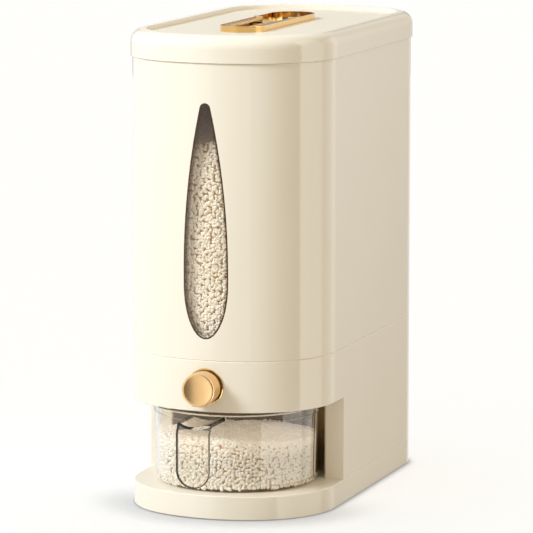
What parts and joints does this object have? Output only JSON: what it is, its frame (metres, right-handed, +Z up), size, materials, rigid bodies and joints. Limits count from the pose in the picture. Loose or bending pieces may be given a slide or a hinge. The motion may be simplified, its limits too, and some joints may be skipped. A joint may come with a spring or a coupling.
{
  "type": "rice dispenser with cup drawer",
  "caption": "Tall countertop rice bin with a window, a lift-off lid with a folding handle, a push button that opens a shutter, and a clear cup with a strap handle that pulls out below.",
  "frame": {"origin": "on the table, under the middle of the bounding box, which reaches from the cup handle's front to the lid's back", "axes": "+Z up, +Y towards the back, +X to the right as seen from the front"},
  "size_m": [0.1626, 0.3402, 0.3698],
  "materials": {
    "cream_plastic": "high gloss, warm cream",
    "white_plastic": "satin, inner mouldings",
    "pale_acetal": "satin, slippery",
    "gold_metal": "polished gold, brushed button face",
    "steel": "bright",
    "dark_rubber": "matt",
    "pale_silicone": "matt",
    "smoked_plastic": "smoked, clear",
    "clear_plastic": "clear, glossy"
  },
  "bodies": {
    "housing": {"base_plate": "cream_plastic", "bottom_cover": "white_plastic", "rubber_feet": "dark_rubber", "cover_screws": "steel", "column_screws": "steel", "lower_housing": "cream_plastic", "gate_housing": "white_plastic", "gate_screws": "steel", "hopper": "white_plastic", "hopper_screws": "steel", "button_collar": "gold_metal", "collar_screws": "steel", "return_spring": "steel", "rice_tank": "cream_plastic", "tie_screws": "steel", "window_gasket": "dark_rubber", "window_pane": "smoked_plastic"},
    "lid": {"lid": "cream_plastic", "lid_gasket": "pale_silicone", "lid_liner": "white_plastic", "liner_screws": "steel", "handle_tray": "gold_metal", "tray_screws": "steel", "bail_pins": "gold_metal"},
    "bail": {"handle_bail": "gold_metal"},
    "push_button": {"button_cap": "gold_metal", "push_rod": "pale_acetal", "rod_screw": "steel", "shutter": "pale_acetal"},
    "cup": {"measuring_cup": "clear_plastic"}
  },
  "joints": [
    {"name": "lid_lift", "type": "slide", "parent": "housing", "child": "lid", "axis": [0, 0, 1], "range_m": [0, 0.12]},
    {"name": "bail_swing", "type": "hinge", "parent": "lid", "child": "bail", "pos_m": [0, 0.02085, 0.3677], "axis": [-1, 0, 0], "range_deg": [0, 95]},
    {"name": "button_press", "type": "slide", "parent": "housing", "child": "push_button", "axis": [0, 1, 0], "range_m": [0, 0.013], "stiffness_N_per_m": 250, "springref_m": -0.008, "deforming": ["return_spring"]},
    {"name": "cup_slide", "type": "slide", "parent": "housing", "child": "cup", "axis": [0, -1, 0], "range_m": [0, 0.14]}
  ]
}
